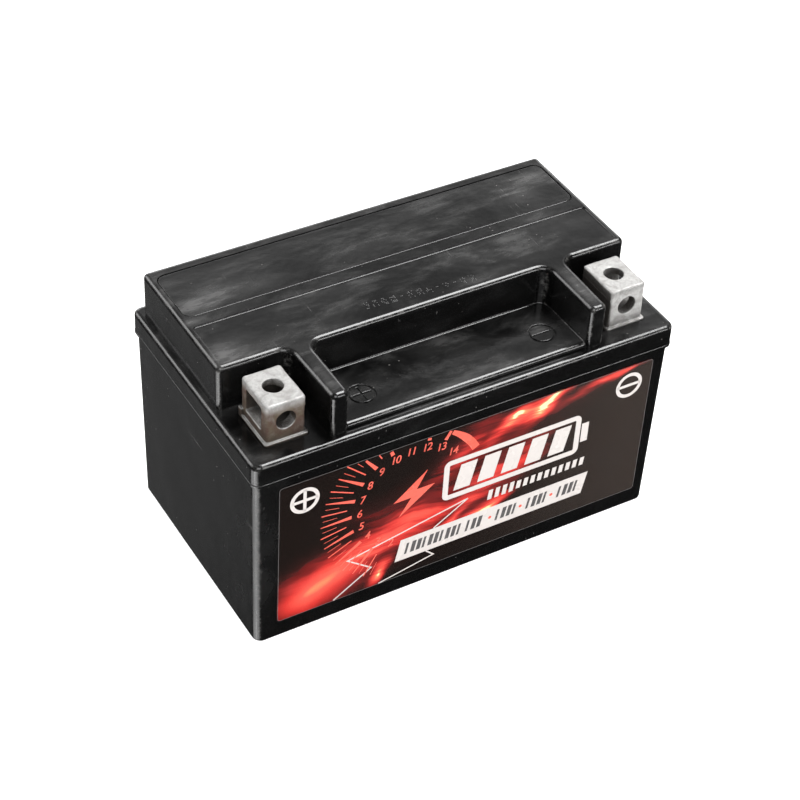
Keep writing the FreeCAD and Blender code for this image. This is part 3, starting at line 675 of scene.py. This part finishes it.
def dial_numbers():
    """The numbers on the dial, each upright, as flat ink."""
    parts = []
    for number in range(2, 15):
        x, z = dial_point(NUMBER_R, dial_angle(number))
        curve = bpy.data.curves.new("number", "FONT")
        curve.body = str(number)
        curve.size = NUMBER_SIZE
        curve.shear = 0.15
        curve.space_character = 0.9
        curve.align_x, curve.align_y = "CENTER", "CENTER"
        curve.offset = 0.05
        holder = new_object("number", curve)
        bpy.context.view_layer.update()
        graph = bpy.context.evaluated_depsgraph_get()
        mesh = bpy.data.meshes.new_from_object(holder.evaluated_get(graph))
        bpy.data.objects.remove(holder)
        parts.append((mesh, x, z))
    builder = bmesh.new()
    for mesh, x, z in parts:
        start = len(builder.verts)
        builder.from_mesh(mesh)
        builder.verts.ensure_lookup_table()
        for vertex in builder.verts[start:]:
            vertex.co = on_face(x + vertex.co.x * 0.92, z + vertex.co.y, INK_T + 0.002)
    bmesh.ops.remove_doubles(builder, verts=builder.verts, dist=0.002 * MM)
    walls = bmesh.ops.extrude_face_region(builder, geom=builder.faces[:])
    for vertex in (g for g in walls["geom"] if isinstance(g, bmesh.types.BMVert)):
        vertex.co.y += (INK_T + 0.01) * MM
    bmesh.ops.recalc_face_normals(builder, faces=builder.faces)
    mesh = bpy.data.meshes.new("label_dial_numbers")
    builder.to_mesh(mesh)
    builder.free()
    mesh.materials.append(SALMON_INK)
    made = new_object("label_dial_numbers", mesh)
    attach(made, "case")


dial_numbers()

SYMBOL_R = 4.4
SYMBOL_STROKE = 1.3
BAR_HALF = 0.55


def polarity_symbol(name, x, z, plus):
    """A ring with a bar across it, and an upright bar too where it is a plus."""
    ring = ribbon_quads(arc_points(x, z, SYMBOL_R, 0, 360, 48)[:-1], SYMBOL_STROKE, closed=True)
    bars = [slanted(x - SYMBOL_R, z - BAR_HALF, x + SYMBOL_R, z + BAR_HALF)]
    if plus:
        bars.append(slanted(x - BAR_HALF, z + BAR_HALF, x + BAR_HALF, z + SYMBOL_R))
        bars.append(slanted(x - BAR_HALF, z - SYMBOL_R, x + BAR_HALF, z - BAR_HALF))
    flat_pieces(name, ring + bars, INK_FOOT, INK_T, WHITE_INK)


polarity_symbol("label_plus_symbol", -58.2, 55.95, True)
polarity_symbol("label_minus_symbol", 60.4, 56.1, False)

flat_pieces("label_zigzag_outline",
            ribbon_quads([(1.4, 31.1), (-42.3, 22.7), (-33.5, 15.8), (-46.9, 7.1)], 0.5)
            + ribbon_quads([(1.4, 31.1), (-10.9, 23.2)], 0.5)
            + ribbon_quads([(-13.1, 13.9), (-10.2, 11.2), (-30.4, 7.1)], 0.5),
            INK_FOOT, INK_T - 0.006, WHITE_INK)

flat_pieces("label_rating_band", [slanted(-24.8, 14.0, 46.7, 23.1, 0.2)], INK_FOOT, INK_T + 0.01, WHITE_INK)


STROKE_GROUPS = ((-21.5, 10), (1.2, 3), (12.6, 4), (24.5, 4), (36.6, 4))     # first x in mm, strokes
STROKE_PITCH = 2.15


def rating_marks():
    """Groups of short slanted strokes where a rating would be printed."""
    quads = []
    for start, count in STROKE_GROUPS:
        for i in range(count):
            x = start + i * STROKE_PITCH
            quads.append(slanted(x, 16.2, x + (1.5 if i % 3 else 0.9), 20.8, 0.2))
    return quads


flat_pieces("label_rating_marks", rating_marks(), INK_T - 0.005, INK_T + 0.02, GREY_INK)
flat_pieces("label_rating_dots", [arc_points(x, 18.5, 0.62, 0, 360, 16)[:-1] for x in (10.7, 22.5, 34.5)],
            INK_T - 0.005, INK_T + 0.02, SALMON_INK)


def gauge():
    """A battery pictogram: a white case outline with a stud and slanted charge bars."""
    x0, z0, x1, z1 = -8.6, 33.7, 43.0, 50.5
    frame_line = ribbon_quads(rounded(x0 + 1.0, z0 + 1.0, x1 - 1.0, z1 - 1.0, 1.4), 2.0, closed=True)
    stud = [slanted(x1 + 0.5, z0 + 4.4, x1 + 3.2, z1 - 4.4)]
    bars = [slanted(x0 + 4.0 + i * 8.9, z0 + 3.2, x0 + 10.1 + i * 8.9, z1 - 3.2, 0.22) for i in range(5)]
    return frame_line + stud + bars


flat_pieces("label_gauge", gauge(), INK_FOOT, INK_T, WHITE_INK)
SPARK = [(-14.8, 50.5), (-26.6, 40.7), (-20.1, 40.7), (-24.4, 33.7), (-11.8, 43.5), (-18.4, 43.5)]
flat_pieces("label_spark", [SPARK],
            INK_FOOT, INK_T, SALMON_INK)


def rule_bars():
    """A row of short bars under the pictogram; the first four are a little taller."""
    bars = []
    for i in range(14):
        low, high = (27.0, 31.1) if i < 4 else (27.4, 30.7)
        bars.append(slanted(8.9 + i * 2.72, low, 10.5 + i * 2.72, high, 0.12))
    return bars


flat_pieces("label_rule", rule_bars(), INK_FOOT, INK_T, WHITE_INK)

EDGE_INSET = 0.14
EDGE_LOOP = rounded(TOP_LEFT.x + EDGE_INSET, BOTTOM_RIGHT.y + EDGE_INSET,
                    BOTTOM_RIGHT.x - EDGE_INSET, TOP_LEFT.y - EDGE_INSET, 1.1)
flat_pieces("label_edge_line", ribbon_quads(EDGE_LOOP, 0.22, closed=True), INK_FOOT, 0.012, GREY_INK)


# ---------------------------------------------------------------- moulded dot marks

DOT_LINE = (Vector((-19.4, -8.2)), Vector((20.5, -11.0)))      # x, y in mm where the line starts and ends
DOT_GROUPS = 13
DASH_GROUPS = (4, 8, 10)            # these hold two dots side by side, like a dash
DOT_COLUMNS, DOT_ROWS = 4, 6
DOT_ACROSS, DOT_UP = 0.52, 0.56     # mm from dot to dot
DOT_R, DOT_HEIGHT, DOT_SUNK = 0.13, 0.07, 0.02
DOT_FOOT = 1.6                      # the foot is this much wider than the top
PANEL_DROP = 0.45                   # mm, how far the front panel lies under the cover's top


def dot_marks():
    """A line of small raised dots across the front panel, grouped as a date stamp would be."""
    rng = random.Random(11)
    block_top = (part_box("cover")[1].z / MM)
    panel_z = block_top - PANEL_DROP
    start, end = DOT_LINE
    along = (end - start) / DOT_GROUPS
    up = Vector((-along.y, along.x)).normalized()
    step = along.normalized()
    builder = bmesh.new()
    for group in range(DOT_GROUPS):
        if group in DASH_GROUPS:
            cells = [(1, 3), (2, 3)]
        else:
            cells = [(c, r) for c in range(DOT_COLUMNS) for r in range(DOT_ROWS) if rng.random() < 0.42]
        for column, row in cells:
            spot = start + along * group + step * (column * DOT_ACROSS) + up * (row * DOT_UP)
            top = bmesh.ops.create_circle(builder, cap_ends=True, segments=8, radius=DOT_R * MM)["verts"]
            for vertex in top:
                vertex.co += Vector((spot.x, spot.y, panel_z + DOT_HEIGHT)) * MM
            foot = bmesh.ops.extrude_edge_only(builder, edges=list({e for v in top for e in v.link_edges}))
            for vertex in (g for g in foot["geom"] if isinstance(g, bmesh.types.BMVert)):
                middle = Vector((spot.x, spot.y)) * MM
                vertex.co.x = middle.x + (vertex.co.x - middle.x) * DOT_FOOT
                vertex.co.y = middle.y + (vertex.co.y - middle.y) * DOT_FOOT
                vertex.co.z = (panel_z - DOT_SUNK) * MM
    bmesh.ops.recalc_face_normals(builder, faces=builder.faces)
    mesh = bpy.data.meshes.new("panel_dot_marks")
    builder.to_mesh(mesh)
    builder.free()
    plastic = speckled("dot_plastic", (0.05, 0.05, 0.05), (0.13, 0.13, 0.128), 1500.0, 0.4, 0.00001)
    mesh.materials.append(plastic)
    made = new_object("panel_dot_marks", mesh)
    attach(made, "case")


dot_marks()


# ---------------------------------------------------------------- studio

def studio():
    """The white floor that the battery stands on."""
    bpy.ops.mesh.primitive_plane_add(size=12.0, location=(0.0, 0.0, 0.0))
    floor = bpy.context.object
    floor.name = "floor"
    floor.data.materials.append(studio_floor("floor_paper"))
    floor.visible_glossy = False


def softbox(name, direction, distance, width, height, radiance):
    """A rectangular light that faces the battery from a direction; radiance is its brightness as seen."""
    data = bpy.data.lights.new(name, "AREA")
    data.shape = "RECTANGLE"
    data.size, data.size_y = width, height
    data.energy = radiance * width * height * math.pi
    lamp = bpy.data.objects.new(name, data)
    SCENE.collection.objects.link(lamp)
    way = Vector(direction).normalized()
    lamp.location = Vector((0.0, 0.0, 0.05)) + way * distance
    lamp.rotation_mode = "QUATERNION"
    lamp.rotation_quaternion = way.to_track_quat("Z", "Y")
    lamp.visible_camera = False


# towards, cosine where the patch begins, cosine where it is full, brightness
PATCHES = (
    ((0.404, 0.645, 0.649), 0.72, 1.0, 0.52),
    ((0.404, 0.90, 0.10), 0.82, 0.98, 2.5),
    ((-0.62, 0.65, 0.43), 0.91, 0.99, 3.8),
    ((-0.645, -0.404, -0.649), 0.92, 0.995, 4.2),
    ((-0.745, 0.05, -0.65), 0.90, 0.99, 2.2),
    ((-0.28, 0.74, -0.61), 0.978, 1.0, 0.27),
    ((0.15, 0.74, -0.65), 0.93, 1.0, 0.45),
)
SEAM_ACROSS = (0.847, -0.531, 0.0)  # square to the dark upright seam
ROOM_LIGHT = 0.035                  # brightness away from the patches


def surroundings():
    """A dim studio: soft bright patches, mostly behind and at the left, a dark seam and uneven brightness."""
    world = bpy.data.worlds.new("studio")
    SCENE.world = world
    world.use_nodes = True
    tree = world.node_tree
    tree.nodes.clear()
    direction = put(tree, "ShaderNodeTexCoord").outputs["Generated"]
    total = None
    for towards, inner, outer, strength in PATCHES:
        cosine = put(tree, "ShaderNodeVectorMath", {
            0: direction, 1: Vector(towards).normalized()}, operation="DOT_PRODUCT")
        part = spread(tree, cosine.outputs["Value"], inner, outer, 0.0, strength)
        total = part if total is None else maths(tree, "ADD", total, part)
    across = put(tree, "ShaderNodeVectorMath", {0: direction, 1: SEAM_ACROSS}, operation="DOT_PRODUCT")
    seam = spread(tree, maths(tree, "ABSOLUTE", across.outputs["Value"]), 0.005, 0.075, 0.32, 1.0)
    uneven = spread(tree, fractal(tree, direction, 5.0, 3.0, 0.55, 0.6), 0.36, 0.64, 0.55, 1.7)
    patched = maths(tree, "MULTIPLY", maths(tree, "MULTIPLY", total, seam), uneven)
    strength = maths(tree, "ADD", patched, ROOM_LIGHT)
    sky = put(tree, "ShaderNodeBackground", {"Color": (1.0, 1.0, 1.0, 1.0), "Strength": strength})
    out = put(tree, "ShaderNodeOutputWorld")
    tree.links.new(sky.outputs["Background"], out.inputs["Surface"])


studio()
surroundings()
softbox("overhead_softbox", (0.404, 0.016, 0.915), 1.5, 1.0, 0.52, 18.0)
softbox("front_softbox", (0.404, -0.854, 0.328), 1.6, 0.62, 0.28, 12.0)
softbox("fill_softbox", (-0.35, -0.70, 0.62), 1.6, 1.0, 1.0, 4.6)

CAMERA_AT = Vector((-0.28646, -0.45751, 0.50108))
CAMERA_TARGET = Vector((-0.00132, -0.00215, 0.04304))
CAMERA_ROLL = math.radians(3.30)
SENSOR_WIDTH, LENS = 36.0, 96.88    # mm


def camera():
    """The camera, aimed at its target and rolled a little."""
    data = bpy.data.cameras.new("camera")
    data.sensor_width = SENSOR_WIDTH
    data.lens = LENS
    data.clip_start, data.clip_end = 0.01, 50.0
    view = bpy.data.objects.new("camera", data)
    SCENE.collection.objects.link(view)
    view.location = CAMERA_AT
    aim = (CAMERA_TARGET - CAMERA_AT).to_track_quat("-Z", "Y")
    view.rotation_mode = "QUATERNION"
    view.rotation_quaternion = aim @ Matrix.Rotation(CAMERA_ROLL, 4, "Z").to_quaternion()
    SCENE.camera = view


camera()
SCENE.view_settings.view_transform = "Standard"
